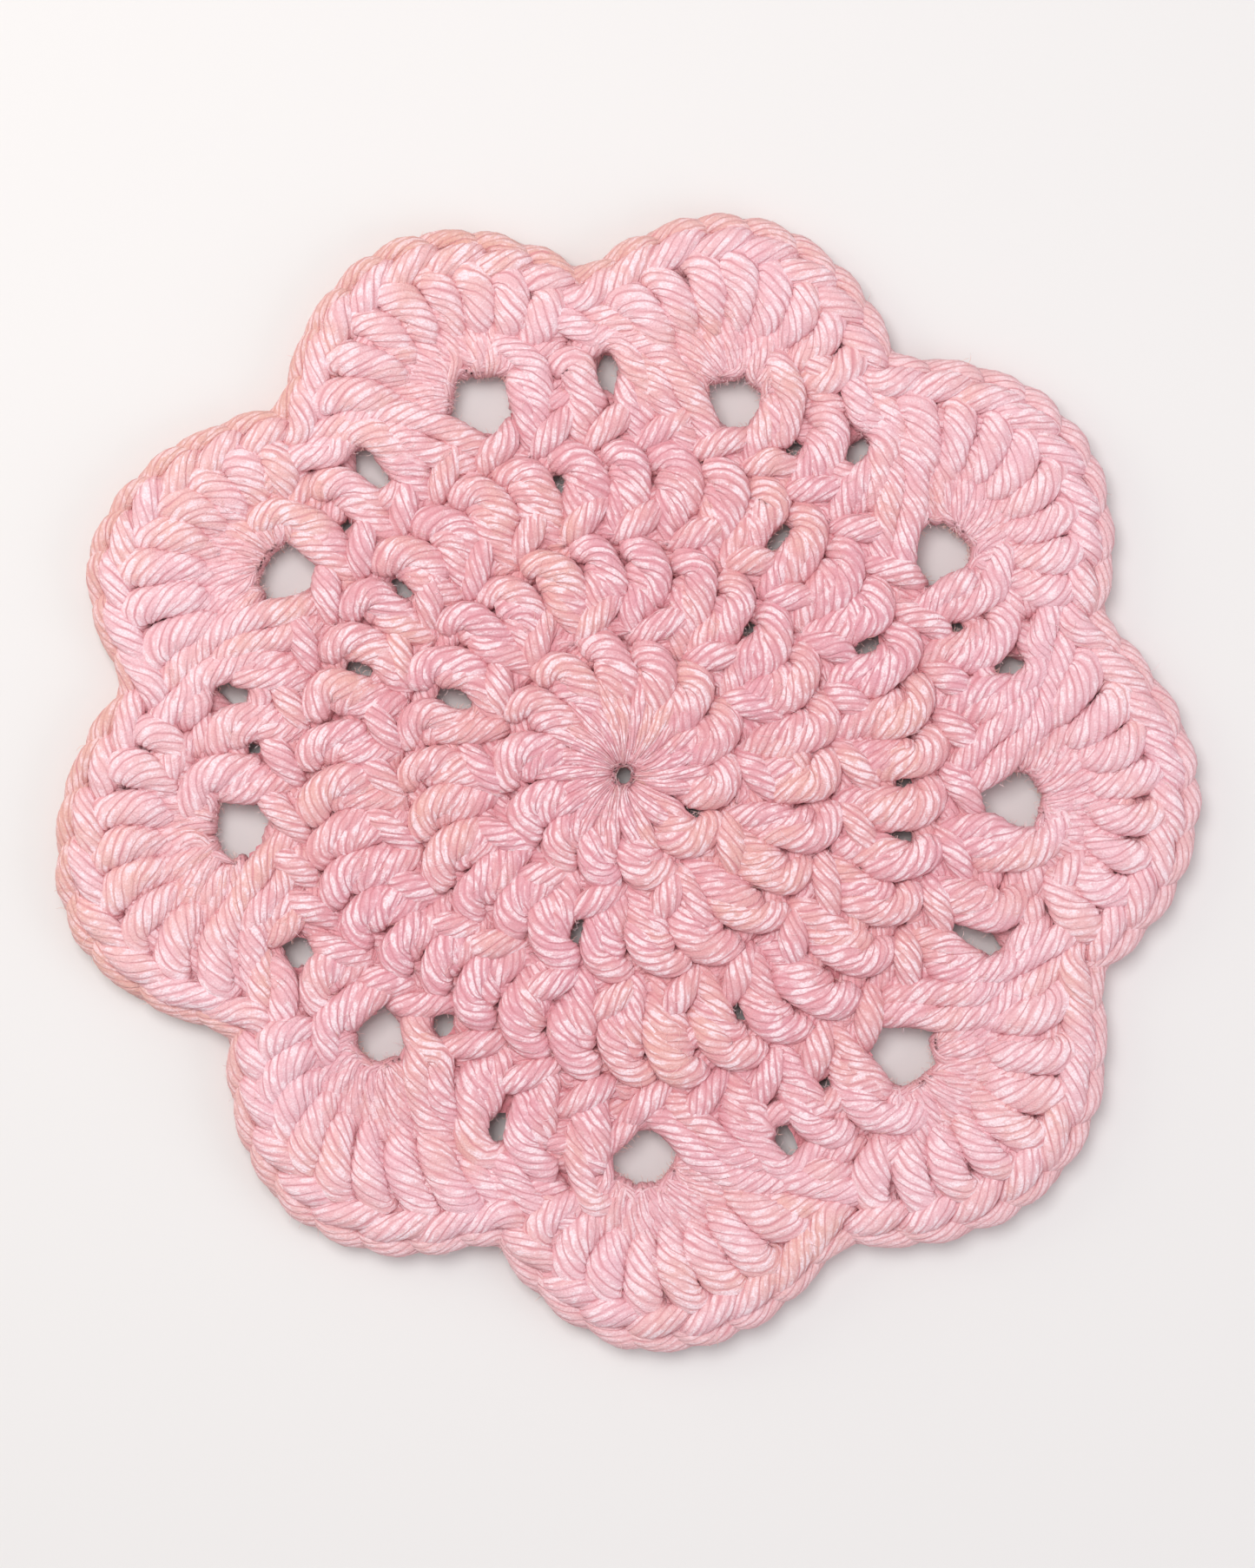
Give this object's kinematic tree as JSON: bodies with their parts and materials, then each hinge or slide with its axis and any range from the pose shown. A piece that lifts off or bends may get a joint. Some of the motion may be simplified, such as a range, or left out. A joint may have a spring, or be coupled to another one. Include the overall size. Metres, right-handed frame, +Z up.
{
  "type": "crochet coaster",
  "caption": "Flat round crochet coaster of double crochet rounds, with a scalloped rim of shell petals around small chain-space holes.",
  "frame": {"origin": "middle of the outline's bounding box, on the flat underside", "axes": "+Z up out of the front face with its raised stitches, +Y towards the notch between the two upper petals, +X to the right seen from above"},
  "size_m": [0.1207, 0.12, 0.0048],
  "materials": {
    "yarn": "soft matte pale pink plied cotton yarn with a faint sheen"
  },
  "bodies": {
    "root": {"coaster": "yarn"}
  },
  "joints": []
}
